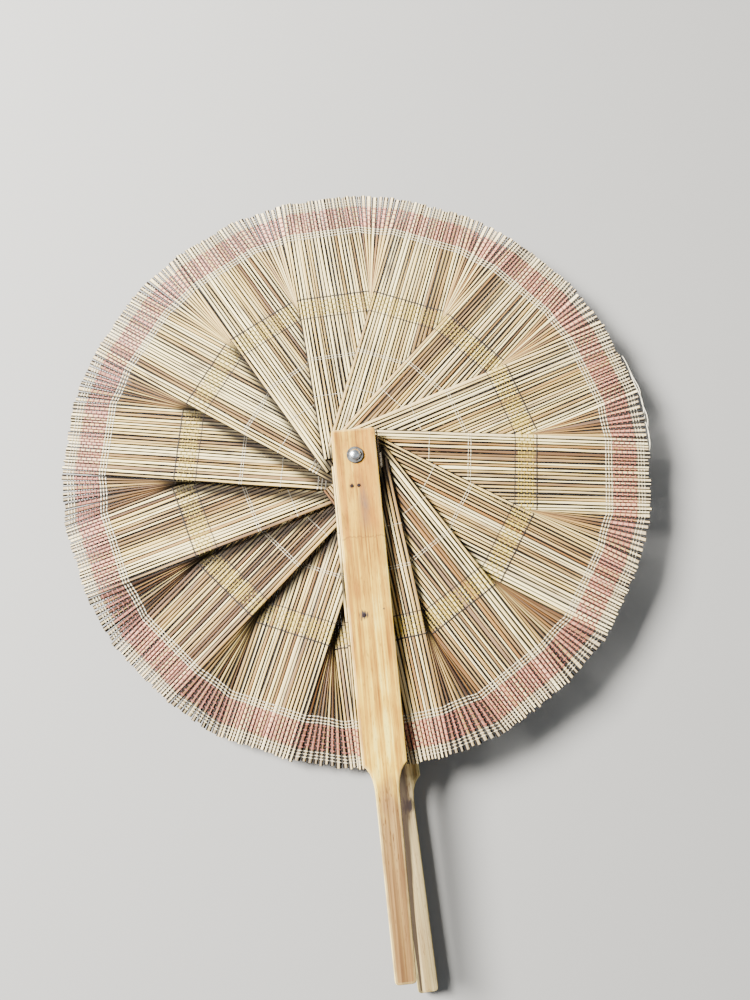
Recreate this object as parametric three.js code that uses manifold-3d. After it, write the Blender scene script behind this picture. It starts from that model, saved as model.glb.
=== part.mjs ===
// Cockade hand fan: a pleated leaf of woven split-cane reeds that opens a full turn about a rivet,
// held between two flat guard sticks whose narrow lower ends together make the handle.
// Millimetres. The pivot is the Z axis, +Z is up, and the back guard points along -Y.

import * as THREE from 'three';
import { mergeVertices } from 'three/addons/utils/BufferGeometryUtils.js';
import Module from 'manifold-3d';

const wasm = await Module();
wasm.setup();

// Leaf
const leafRadius = 168.5; // pivot to the outer reed ends, along the middle of a panel
const pleatCount = 14; // folds between the first face panel and the last
const leafSweep = 356; // degrees from the first face panel to the last
const faceWidth = 44; // a broad face panel, ridge to valley
const pleatShift = 4; // the panels lie this far to the clockwise side of the pivot
const faceReeds = 22;
const lastFaceReeds = 15; // the last face panel is narrower: its valley side ends under the front guard
const returnReeds = 15;
const returnTuck = 1.4; // how far a return panel reaches past its folds at the rim
const returnNeck = 5.2; // width of a return panel where its two folds cross
const endReturnWidth = 20; // the last return panel, which is fixed under the front guard
const reedThickness = 0.4;
const webThickness = 0.18; // the woven line between two reeds
const layerGap = 0.16; // free height between two stacked panels
const innerTilt = 0.1; // rise of the ridge side per millimetre of width, at the inner end
const rimTilt = 0.03; // the same at the rim, where the leaf is pulled nearly flat
const ridgeWidth = 4; // the ridge side of a panel rounds over within this width
const innerDrop = 0.6; // how far the rounded ridge falls below the panel's slope, at the inner end
const rimDrop = 0.2; // the same at the rim
const returnInset = 8; // at the inner end a return panel stays this far inside a face's edges
const slotWidth = 0.7; // the open line between two pairs of reeds in a face panel
const slotStart = 26.5; // rim to the outer end of these lines, inside the outer thread band
const slotEnd = 63; // rim to their inner end, outside the inner thread band

// Guard sticks
const guardSweep = 362.3; // degrees from the back guard, round the leaf, to the front guard
const guardThickness = 4.5;
const headReach = 15.4; // pivot to the square upper end
const headWidth = 25;
const shoulderReach = 165.5; // pivot to the shoulders of the front guard
const shoulderWidth = 23.4;
const shoulderLength = 15.5; // the hollow curve from shoulder to neck
const shoulderHollow = 0.25; // share of that length over which the curve turns in
const neckWidth = 12.6;
const tailReach = 269.5; // pivot to the lower end of the front guard
const tailWidth = 10.8;
const backShoulderReach = 177.5; // the same two distances on the back guard, which is longer
const backTailReach = 284;
const guardCorner = 2.2;
const guardEase = 0.8; // depth of a stick's rounded edges
const guardEaseWidth = 1.4;

// Rivet, washers and tacks
const shankRadius = 2;
const shankClearance = 0.3;
const rivetHeadRadius = 3.2;
const rivetHeadHeight = 1.9;
const rivetTailRadius = 3;
const rivetTailHeight = 1.4;
const washerRadius = 4.75;
const washerThickness = 0.9;
const seatGap = 0.05; // between flat faces that sit on each other
const tackShankRadius = 0.5;
const tackHeadRadius = 1;
const tackHeadHeight = 0.35;
const tackHoleClearance = 0.3;
const tackTipCover = 0.4; // wood left between a tack's point and the leaf side of the stick
const upperTackReach = 17.5; // a pair near the gathered end of the leaf
const upperTackSpread = 3.8;
const lowerTackReach = 88.8; // one further down the blade
const lowerTackOffset = -3.4;

// Gather cord, wound on the rivet inside the ring of reed ends
const cordDiameter = 1.2;
const cordTurns = 7;
const stepsPerTurn = 24;
const cordClearance = 0.3;

// Values that follow from the sizes above
const pleatAngle = leafSweep / pleatCount;
const halfPleat = THREE.MathUtils.degToRad(pleatAngle / 2);
const panelCount = 2 * pleatCount + 2;
const layerPitch = reedThickness + layerGap;
const cordRadius = shankRadius + cordClearance + cordDiameter / 2;
const innerRadius = cordRadius + cordDiameter / 2 + cordClearance;
const panelLength = leafRadius - innerRadius;
const crossRadius = faceWidth / 2 / Math.sin(halfPleat);
const returnRimWidth = 2 * ((leafRadius - crossRadius) * Math.tan(halfPleat) + returnTuck);
const returnInnerWidth = faceWidth - 2 * returnInset;
const endClearance = reedThickness / 2 + (headWidth / 2) * innerTilt + layerGap;
const backWasherBase = rivetTailHeight + seatGap;
const backGuardBase = backWasherBase + washerThickness + seatGap;
const firstLayer = backGuardBase + guardThickness + endClearance;
const lastLayer = firstLayer + (panelCount - 1) * layerPitch;
const frontGuardBase = lastLayer + endClearance;
const frontWasherBase = frontGuardBase + guardThickness + seatGap;
const rivetHeadBase = frontWasherBase + washerThickness + seatGap;
const rivetTop = rivetHeadBase + rivetHeadHeight;

const reedFinish = { roughness: 0.75, metalness: 0 };
const guardFinish = { roughness: 0.55, metalness: 0 };
const washerFinish = { roughness: 0.4, metalness: 0.9 };
const rivetFinish = { roughness: 0.3, metalness: 0.9 };
const tackFinish = { roughness: 0.6, metalness: 0.7 };
const cordFinish = { roughness: 0.95, metalness: 0 };
const faceColour = 0xd9bb8a;
const returnColour = 0xc79f6a;
const guardColour = 0xc49a5c;
const steelColour = 0xb9bcbf;
const ironColour = 0x4a4044;
const cordColour = 0xe8e2d2;

const fan = new THREE.Group();

// A named mesh with a material of its own, added to a parent group.
function addPiece(parent, name, geometry, colour, finish) {
  const material = new THREE.MeshStandardMaterial({ color: colour, ...finish });
  const mesh = new THREE.Mesh(geometry, material);
  mesh.name = name;
  parent.add(mesh);
  return mesh;
}

// The position-only, welded copy of a geometry as a solid that can be joined and cut.
function solidFrom(geometry) {
  const bare = geometry.clone();
  bare.deleteAttribute('normal');
  bare.deleteAttribute('uv');
  const welded = mergeVertices(bare, 1e-4);
  const vertProperties = new Float32Array(welded.attributes.position.array);
  const triVerts = new Uint32Array(welded.index.array);
  return new wasm.Manifold(new wasm.Mesh({ numProp: 3, vertProperties, triVerts }));
}

// A solid as a geometry again.
function geometryFrom(solid) {
  const mesh = solid.getMesh();
  const geometry = new THREE.BufferGeometry();
  geometry.setAttribute('position', new THREE.BufferAttribute(mesh.vertProperties, 3));
  geometry.setIndex(new THREE.BufferAttribute(mesh.triVerts, 1));
  const facets = geometry.toNonIndexed();
  facets.computeVertexNormals();
  return facets;
}

// A turned piece about Z from (radius, height) pairs.
function turned(profile, sides) {
  const points = profile.map(([radius, height]) => new THREE.Vector2(radius, height));
  const geometry = new THREE.LatheGeometry(points, sides);
  geometry.rotateX(Math.PI / 2);
  return geometry;
}

// The cross-section of a strip of reeds, from -1 to 1 across: thick at each reed's middle
// and thin where threads tie it to the next reed.
function reedSection(reeds) {
  const crown = reedThickness / 2;
  const web = webThickness / 2;
  const top = [];
  for (let step = 0; step <= 2 * reeds; step += 1) {
    const across = step / reeds - 1;
    top.push(new THREE.Vector2(across, step % 2 === 1 ? crown : web));
  }
  const under = top.map((point) => new THREE.Vector2(point.x, -point.y)).reverse();
  return new THREE.Shape([...under, ...top]);
}

// How high a panel's surface lies at a radius from the pivot and a distance across from its own
// middle line. Every panel leans and rounds by this one rule, so the panels nest when closed.
function panelRise(radius, across) {
  const share = (radius - innerRadius) / panelLength;
  const lean = THREE.MathUtils.lerp(innerTilt, rimTilt, share);
  const drop = THREE.MathUtils.lerp(innerDrop, rimDrop, share);
  const intoRidge = Math.max(0, across - (faceWidth / 2 - ridgeWidth)) / ridgeWidth;
  return lean * (across - pleatShift) - drop * intoRidge * intoRidge;
}

// A strip of reeds that runs out from the pivot along +X. Each station is a radius with the
// strip's width there, from the inner end to the rim. The strip's middle lies at an offset from
// the middle line of a broad panel.
function reedStrip(reeds, stations, offset = 0) {
  const steps = stations.length - 1;
  const settings = { depth: steps, steps, bevelEnabled: false };
  const geometry = new THREE.ExtrudeGeometry(reedSection(reeds), settings);
  const position = geometry.attributes.position;
  for (let index = 0; index < position.count; index += 1) {
    const [radius, width] = stations[Math.round(position.getZ(index))];
    const across = offset + (position.getX(index) * width) / 2;
    const height = position.getY(index) + panelRise(radius, across);
    position.setXYZ(index, radius, across - pleatShift, height);
  }
  geometry.computeVertexNormals();
  return geometry;
}

// A broad face panel, the same width all the way out, with open lines between pairs of reeds.
// A panel of fewer reeds keeps the ridge side and is cut short at the valley side.
function facePanel(reeds) {
  const reedPitch = faceWidth / faceReeds;
  const width = reeds * reedPitch;
  const ridge = faceWidth / 2;
  const strip = reedStrip(
    reeds,
    [
      [innerRadius, width],
      [leafRadius, width],
    ],
    ridge - width / 2,
  );
  const slotMiddle = leafRadius - (slotStart + slotEnd) / 2;
  let panel = solidFrom(strip);
  for (let line = 1; line < reeds; line += 2) {
    const slot = new THREE.BoxGeometry(slotEnd - slotStart, slotWidth, faceWidth);
    slot.translate(slotMiddle, ridge - line * reedPitch - pleatShift, 0);
    panel = panel.subtract(solidFrom(slot));
  }
  return geometryFrom(panel);
}

// A return panel: a wedge at the rim that narrows to the crossing of its two folds and opens
// again under the next face panel.
function returnPanel() {
  return reedStrip(returnReeds, [
    [innerRadius, returnInnerWidth],
    [crossRadius, returnNeck],
    [leafRadius, returnRimWidth],
  ]);
}

// The end of the leaf, a narrow strip that stays hidden under the front guard.
function endReturnPanel() {
  return reedStrip(returnReeds, [
    [innerRadius, endReturnWidth],
    [leafRadius, endReturnWidth],
  ]);
}

// Outline of a guard stick: square head, long tapering blade, hollow shoulders, slim handle.
function guardOutline(shoulder, tail) {
  const side = new THREE.Path();
  side.moveTo(headWidth / 2 - guardCorner, headReach);
  side.quadraticCurveTo(headWidth / 2, headReach, headWidth / 2, headReach - guardCorner);
  side.lineTo(shoulderWidth / 2, -shoulder);
  const neck = shoulder + shoulderLength;
  const hollow = shoulder + shoulderHollow * shoulderLength;
  side.quadraticCurveTo(neckWidth / 2, -hollow, neckWidth / 2, -neck);
  side.lineTo(tailWidth / 2, guardCorner - tail);
  side.quadraticCurveTo(tailWidth / 2, -tail, tailWidth / 2 - guardCorner, -tail);
  const right = side.getPoints(5);
  const left = right.map((point) => new THREE.Vector2(-point.x, point.y)).reverse();
  return new THREE.Shape([...right, ...left]);
}

// Where the tacks stand on a stick, as offsets from the pivot.
const tackPlaces = [
  ['tack_upper_left', lowerTackOffset, -upperTackReach],
  ['tack_upper_right', lowerTackOffset + upperTackSpread, -upperTackReach],
  ['tack_lower', lowerTackOffset, -lowerTackReach],
];

// A guard stick from z 0 up, bored for the rivet and the tacks.
function guardStick(shoulder, tail) {
  const blank = new THREE.ExtrudeGeometry(guardOutline(shoulder, tail), {
    depth: guardThickness - 2 * guardEase,
    bevelEnabled: true,
    bevelThickness: guardEase,
    bevelSize: guardEaseWidth,
    bevelOffset: -guardEaseWidth,
    bevelSegments: 2,
  });
  blank.translate(0, 0, guardEase);
  const bore = (radius, sides, x, y) => {
    const drill = new THREE.CylinderGeometry(radius, radius, 3 * guardThickness, sides);
    drill.rotateX(Math.PI / 2);
    drill.translate(x, y, guardThickness / 2);
    return solidFrom(drill);
  };
  let stick = solidFrom(blank).subtract(bore(shankRadius + shankClearance, 24, 0, 0));
  for (const [, x, y] of tackPlaces) {
    stick = stick.subtract(bore(tackShankRadius + tackHoleClearance, 10, x, y));
  }
  return geometryFrom(stick);
}

// A tack with its shank pointing down and the underside of its head at z 0.
function tack() {
  const depth = guardThickness - tackTipCover;
  return turned(
    [
      [0, -depth],
      [tackShankRadius, -depth],
      [tackShankRadius, 0],
      [tackHeadRadius, 0],
      [0.7 * tackHeadRadius, tackHeadHeight],
      [0, tackHeadHeight],
    ],
    10,
  );
}

// A plain washer from z 0 up, with its outer edge eased.
function washer() {
  const hole = shankRadius + shankClearance;
  const ease = 0.25 * washerThickness;
  return turned(
    [
      [hole, 0],
      [washerRadius, 0],
      [washerRadius, washerThickness - ease],
      [washerRadius - ease, washerThickness],
      [hole, washerThickness],
      [hole, 0],
    ],
    24,
  );
}

// The rivet: a flat clenched tail on the ground, a plain shank and a domed head.
function rivet() {
  const dome = (share, lift) => [share * rivetHeadRadius, rivetHeadBase + lift * rivetHeadHeight];
  return turned(
    [
      [0, 0],
      [0.8 * rivetTailRadius, 0],
      [rivetTailRadius, 0.35 * rivetTailHeight],
      [rivetTailRadius, rivetTailHeight],
      [shankRadius, rivetTailHeight],
      [shankRadius, rivetHeadBase],
      dome(1, 0),
      dome(0.97, 0.3),
      dome(0.72, 0.74),
      dome(0.38, 0.94),
      dome(0, 1),
    ],
    24,
  );
}

// The cord's centre line: an even helix round the rivet.
class CordPath extends THREE.Curve {
  constructor(base, top) {
    super();
    this.base = base;
    this.top = top;
  }

  getPoint(share, target = new THREE.Vector3()) {
    const turn = 2 * Math.PI * cordTurns * share;
    const height = THREE.MathUtils.lerp(this.base, this.top, share);
    return target.set(cordRadius * Math.cos(turn), cordRadius * Math.sin(turn), height);
  }
}

const cordBase = backGuardBase + guardThickness + cordDiameter / 2 + cordClearance;
const cordTop = frontGuardBase - cordDiameter / 2 - cordClearance;

const cordPath = new CordPath(cordBase, cordTop);

// The wound cord as one unbroken tube.
function gatherCord() {
  const section = new THREE.Shape();
  section.absarc(0, 0, cordDiameter / 2, 0, 2 * Math.PI, false);
  const steps = stepsPerTurn * cordTurns;
  return new THREE.ExtrudeGeometry(section, { steps, curveSegments: 3, extrudePath: cordPath });
}

// The least free gap from the cord to itself, measured on points half a turn or more apart.
function leastCordGap() {
  const points = cordPath.getPoints(stepsPerTurn * cordTurns);
  let least = Infinity;
  for (let first = 0; first < points.length; first += 1) {
    for (let second = first + stepsPerTurn / 2; second < points.length; second += 1) {
      least = Math.min(least, points[first].distanceTo(points[second]));
    }
  }
  return least - cordDiameter;
}

console.log(`least gap of the gather cord to itself ${leastCordGap().toFixed(2)} mm`);

// Back guard with its washer and tacks; the rivet and the cord stay with it.
const backGuard = new THREE.Group();
fan.add(backGuard);
const backBlank = guardStick(backShoulderReach, backTailReach);
const backStick = addPiece(backGuard, 'back_guard', backBlank, guardColour, guardFinish);
backStick.position.z = backGuardBase;
addPiece(backGuard, 'back_washer', washer(), steelColour, washerFinish).position.z = backWasherBase;
addPiece(backGuard, 'pivot_rivet', rivet(), steelColour, rivetFinish);
addPiece(backGuard, 'gather_cord', gatherCord(), cordColour, cordFinish);
for (const [name, x, y] of tackPlaces) {
  const piece = addPiece(backGuard, `back_${name}`, tack(), ironColour, tackFinish);
  piece.rotation.x = Math.PI;
  piece.position.set(x, y, backGuardBase - seatGap);
}

// Front guard with its washer and tacks, turned back past a full circle.
const frontGuard = new THREE.Group();
frontGuard.rotation.z = -THREE.MathUtils.degToRad(guardSweep);
fan.add(frontGuard);
const frontBlank = guardStick(shoulderReach, tailReach);
addPiece(frontGuard, 'front_guard', frontBlank, guardColour, guardFinish).position.z = frontGuardBase;
addPiece(frontGuard, 'front_washer', washer(), steelColour, washerFinish).position.z = frontWasherBase;
for (const [name, x, y] of tackPlaces) {
  const piece = addPiece(frontGuard, `front_${name}`, tack(), ironColour, tackFinish);
  piece.position.set(x, y, frontGuardBase + guardThickness + seatGap);
}

// The leaf: face and return panels in turn, each in a layer of its own, climbing clockwise from
// the back guard to the front guard.
const leaf = new THREE.Group();
leaf.rotation.z = -Math.PI / 2;
fan.add(leaf);
for (let index = 0; index < panelCount; index += 1) {
  const number = String(Math.floor(index / 2) + 1).padStart(2, '0');
  const last = index === panelCount - 1;
  const isFace = index % 2 === 0;
  const faceSize = index === panelCount - 2 ? lastFaceReeds : faceReeds;
  const geometry = isFace ? facePanel(faceSize) : last ? endReturnPanel() : returnPanel();
  const name = isFace ? `pleat_face_${number}` : `pleat_return_${number}`;
  const piece = addPiece(leaf, name, geometry, isFace ? faceColour : returnColour, reedFinish);
  const turn = last ? guardSweep : index * (pleatAngle / 2);
  piece.rotation.z = -THREE.MathUtils.degToRad(turn);
  piece.position.z = firstLayer + index * layerPitch;
}

console.log(`overall height ${rivetTop.toFixed(1)} mm, leaf diameter ${(2 * leafRadius).toFixed(0)} mm`);

export default fan;
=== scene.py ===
"""Looks of a round pleated hand fan: woven cane reeds, bamboo guards and a steel rivet."""

import logging
import math
from dataclasses import dataclass
from enum import Enum
from itertools import accumulate
from random import Random
from typing import Sequence

import bmesh
import bpy
from bmesh.types import BMesh, BMVert
from bpy.types import ColorRamp, Material, Mesh, Node, NodeSocket, Object
from mathutils import Matrix, Vector
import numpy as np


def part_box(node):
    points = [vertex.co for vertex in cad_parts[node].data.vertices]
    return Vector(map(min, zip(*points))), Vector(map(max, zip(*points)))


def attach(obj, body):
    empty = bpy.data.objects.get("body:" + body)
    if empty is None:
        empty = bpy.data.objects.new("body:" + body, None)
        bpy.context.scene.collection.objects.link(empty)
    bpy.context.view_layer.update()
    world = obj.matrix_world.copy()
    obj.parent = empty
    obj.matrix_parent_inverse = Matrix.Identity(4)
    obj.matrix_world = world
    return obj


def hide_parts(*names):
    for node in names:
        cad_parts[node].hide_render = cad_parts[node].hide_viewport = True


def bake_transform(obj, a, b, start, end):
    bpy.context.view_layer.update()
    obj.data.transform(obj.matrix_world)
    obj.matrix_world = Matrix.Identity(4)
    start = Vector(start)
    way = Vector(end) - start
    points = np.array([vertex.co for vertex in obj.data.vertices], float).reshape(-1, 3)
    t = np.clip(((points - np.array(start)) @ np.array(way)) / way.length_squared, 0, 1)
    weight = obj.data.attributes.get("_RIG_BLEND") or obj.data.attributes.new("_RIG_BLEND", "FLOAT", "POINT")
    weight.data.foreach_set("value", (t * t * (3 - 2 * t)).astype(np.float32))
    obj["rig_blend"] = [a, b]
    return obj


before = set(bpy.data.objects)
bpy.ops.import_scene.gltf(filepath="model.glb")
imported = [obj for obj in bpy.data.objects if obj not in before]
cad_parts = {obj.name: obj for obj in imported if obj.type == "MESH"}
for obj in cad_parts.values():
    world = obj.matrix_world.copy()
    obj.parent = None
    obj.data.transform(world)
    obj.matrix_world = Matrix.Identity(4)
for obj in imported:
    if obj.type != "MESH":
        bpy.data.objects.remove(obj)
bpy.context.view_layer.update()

MM = 0.001
FULL_TURN = 2 * math.pi
UP = Vector((0, 0, 1))
Colour = tuple[float, float, float, float]
Stops = Sequence[tuple[float, Colour]]
Span = tuple[float, float]
Triple = tuple[float, float, float]

log = logging.getLogger("hand_fan")


class Value:
    """A socket of a material whose arithmetic adds Math nodes."""

    def __init__(self, finish: "Finish", socket: NodeSocket) -> None:
        """Wrap a socket of the finish's nodes."""
        self.finish = finish
        self.socket = socket

    def math(self, operation: str, first: "Number", second: "Number" = 0.0) -> "Value":
        """Add one Math node.

        Args:
            operation: The node's operation.
            first: Its first input.
            second: Its second input, where the operation has one.

        Returns:
            The node's result.
        """
        made = self.finish.node("ShaderNodeMath", {"operation": operation}, {0: first, 1: second})
        return self.finish.result(made)

    def __add__(self, other: "Number") -> "Value":
        """Sum."""
        return self.math("ADD", self, other)

    def __radd__(self, other: "Number") -> "Value":
        """Sum with a number on the left."""
        return self.math("ADD", other, self)

    def __sub__(self, other: "Number") -> "Value":
        """Difference."""
        return self.math("SUBTRACT", self, other)

    def __rsub__(self, other: "Number") -> "Value":
        """Difference from a number on the left."""
        return self.math("SUBTRACT", other, self)

    def __mul__(self, other: "Number") -> "Value":
        """Product."""
        return self.math("MULTIPLY", self, other)

    def __rmul__(self, other: "Number") -> "Value":
        """Product with a number on the left."""
        return self.math("MULTIPLY", other, self)

    def __truediv__(self, other: "Number") -> "Value":
        """Quotient."""
        return self.math("DIVIDE", self, other)

    def __rtruediv__(self, other: "Number") -> "Value":
        """Quotient of a number on the left."""
        return self.math("DIVIDE", other, self)

    def __pow__(self, other: "Number") -> "Value":
        """Power."""
        return self.math("POWER", self, other)

    def __rpow__(self, other: "Number") -> "Value":
        """Power of a number on the left."""
        return self.math("POWER", other, self)

    def __abs__(self) -> "Value":
        """Size without sign."""
        return self.math("ABSOLUTE", self)

    def sine(self) -> "Value":
        """Sine of an angle in radians."""
        return self.math("SINE", self)

    def swing(self, width: float) -> "Value":
        """A share of 0 to 1 laid evenly about 0, over a width."""
        return (self - 0.5) * width

    def between(self, low: float, high: float) -> "Value":
        """Smooth step from 0 at low to 1 at high, where low may be the larger."""
        inputs = {"Value": self, "From Min": low, "From Max": high}
        made = self.finish.node("ShaderNodeMapRange", {"interpolation_type": "SMOOTHSTEP"}, inputs)
        return self.finish.result(made)


Number = float | Value


class Finish:
    """A material and its nodes, with a shader and an output from the start.

    Its colour is laid on in coats. The constants are the places of sockets on their nodes.
    """

    MIX_FIRST = 6
    MIX_SECOND = 7
    MIX_RESULT = 2
    ATTRIBUTE_VECTOR = 1
    ATTRIBUTE_NUMBER = 2
    COORDINATES_NORMAL = 1
    COORDINATES_OBJECT = 3

    def __init__(self, name: str, ground: Colour = (1, 1, 1, 1)) -> None:
        """Make the material.

        Args:
            name: Its name.
            ground: The colour under all coats.
        """
        self.colour: Value | Colour = ground
        self.material = bpy.data.materials.new(name)
        self.material.use_nodes = True
        self.tree = self.material.node_tree
        self.tree.nodes.clear()
        self.shader = self.node("ShaderNodeBsdfPrincipled")
        self.node("ShaderNodeOutputMaterial", {}, {"Surface": self.result(self.shader)})

    def node(self, kind: str, settings: dict | None = None, inputs: dict | None = None) -> Node:
        """Add a node.

        Args:
            kind: The node's type.
            settings: Its own settings, set first. A ramp's stops are pairs of place and colour.
            inputs: Values or links of its sockets, by name or number.

        Returns:
            The new node.
        """
        made = self.tree.nodes.new(kind)
        for key, setting in (settings or {}).items():
            if key == "stops":
                self.set_stops(made.color_ramp, setting)
            else:
                setattr(made, key, setting)
        self.fill(made, inputs or {})
        return made

    def fill(self, node: Node, inputs: dict) -> None:
        """Set or link a node's sockets.

        Args:
            node: The node.
            inputs: Values or links, by a socket's name or number.
        """
        for key, given in inputs.items():
            if isinstance(given, Value):
                self.tree.links.new(given.socket, node.inputs[key])
            else:
                node.inputs[key].default_value = given

    def set_stops(self, ramp: ColorRamp, stops: Stops) -> None:
        """Give a ramp its stops.

        Args:
            ramp: The ramp.
            stops: Places and colours.
        """
        while len(ramp.elements) < len(stops):
            ramp.elements.new(1.0)
        for element, (place, colour) in zip(ramp.elements, stops):
            element.position = place
            element.color = colour

    def result(self, made: Node, output: int = 0) -> Value:
        """One of a node's results."""
        return Value(self, made.outputs[output])

    def ramp(self, factor: Value, stops: Stops) -> Value:
        """A colour picked from a row of colours."""
        return self.result(self.node("ShaderNodeValToRGB", {"stops": stops}, {0: factor}))

    def mix(
        self, factor: Number, first: Value | Colour, second: Value | Colour, blend: str = "MIX"
    ) -> Value:
        """Two colours mixed.

        Args:
            factor: Share of the second colour.
            first: The colour at share 0.
            second: The colour at share 1.
            blend: How the second is laid on the first.

        Returns:
            The mixed colour.
        """
        settings = {"data_type": "RGBA", "blend_type": blend, "clamp_factor": True}
        inputs = {0: factor, self.MIX_FIRST: first, self.MIX_SECOND: second}
        return self.result(self.node("ShaderNodeMix", settings, inputs), self.MIX_RESULT)

    def coat(self, share: Number, colour: Value | Colour, blend: str = "MIX") -> None:
        """Lay a share of a colour over the coats so far."""
        self.colour = self.mix(share, self.colour, colour, blend)

    def split(self, vector: Value) -> list[Value]:
        """The three numbers of a vector."""
        made = self.node("ShaderNodeSeparateXYZ", {}, {0: vector})
        return [Value(self, socket) for socket in made.outputs]

    def triple(self, name: str) -> list[Value]:
        """The three numbers of a vector stored on the mesh."""
        made = self.node("ShaderNodeAttribute", {"attribute_name": name})
        return self.split(self.result(made, self.ATTRIBUTE_VECTOR))

    def single(self, name: str) -> Value:
        """A number stored on the mesh."""
        made = self.node("ShaderNodeAttribute", {"attribute_name": name})
        return self.result(made, self.ATTRIBUTE_NUMBER)

    def place(self) -> Value:
        """The point's place in the fan's frame, in metres."""
        return self.result(self.node("ShaderNodeTexCoord"), self.COORDINATES_OBJECT)

    def flatness(self) -> Value:
        """How flat the surface lies: 0 where it stands upright, 1 where it is level."""
        normal = self.result(self.node("ShaderNodeTexCoord"), self.COORDINATES_NORMAL)
        return abs(self.split(normal)[2])

    def noise(self, x: Number, y: Number, z: Number, detail: float = 2.0) -> Value:
        """Soft noise from 0 to 1, with swellings of about one unit."""
        point = self.result(self.node("ShaderNodeCombineXYZ", {}, {0: x, 1: y, 2: z}))
        inputs = {"Vector": point, "Scale": 1.0, "Detail": detail}
        return self.result(self.node("ShaderNodeTexNoise", {}, inputs))

    def grain(self, point: Sequence[Value], width: float, length: float, detail: float) -> Value:
        """Noise with swellings of a width and, along Y, a length, in metres."""
        x, y, z = point
        return self.noise(x / width, y / length, z / width, detail)

    def bump(self, height: Value, strength: float, depth: float) -> None:
        """Raise the surface's shading by a height from 0 to 1 over a depth in metres."""
        inputs = {"Strength": strength, "Distance": depth, "Height": height}
        self.set(Normal=self.result(self.node("ShaderNodeBump", {}, inputs)))

    def set(self, **sockets: Number | Colour) -> None:
        """Set or link the shader's sockets, with _ for a space in a name."""
        self.fill(self.shader, {key.replace("_", " "): given for key, given in sockets.items()})


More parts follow.
